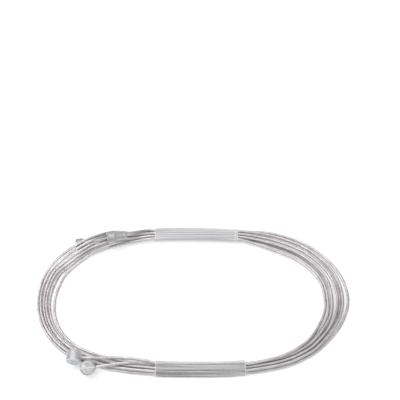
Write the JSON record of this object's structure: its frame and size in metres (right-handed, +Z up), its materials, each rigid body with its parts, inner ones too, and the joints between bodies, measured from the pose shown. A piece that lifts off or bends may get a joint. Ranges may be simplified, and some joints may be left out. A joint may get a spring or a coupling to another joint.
{
  "type": "bicycle brake cable",
  "caption": "Stranded steel brake inner cables with barrel and mushroom heads, wound side by side into a flat oval hank and bound by clear film bands.",
  "frame": {"origin": "middle of the oval that the outermost strand follows, on the surface the hank lies on", "axes": "+X along the hank's length, with the heads at the -X end; +Y towards the back band; +Z up"},
  "size_m": [0.1555, 0.0847, 0.0115],
  "materials": {
    "steel_wire": "bright stranded wire",
    "cast_zinc": "as cast, matt grey zinc",
    "clear_film": "milky translucent film"
  },
  "bodies": {
    "root": {"long_cable_wire": "steel_wire", "long_cable_barrel_head": "cast_zinc", "long_cable_mushroom_head": "cast_zinc", "short_cable_wire": "steel_wire", "short_cable_barrel_head": "cast_zinc", "short_cable_mushroom_head": "cast_zinc", "top_film_band": "clear_film", "bottom_film_band": "clear_film"}
  },
  "joints": []
}
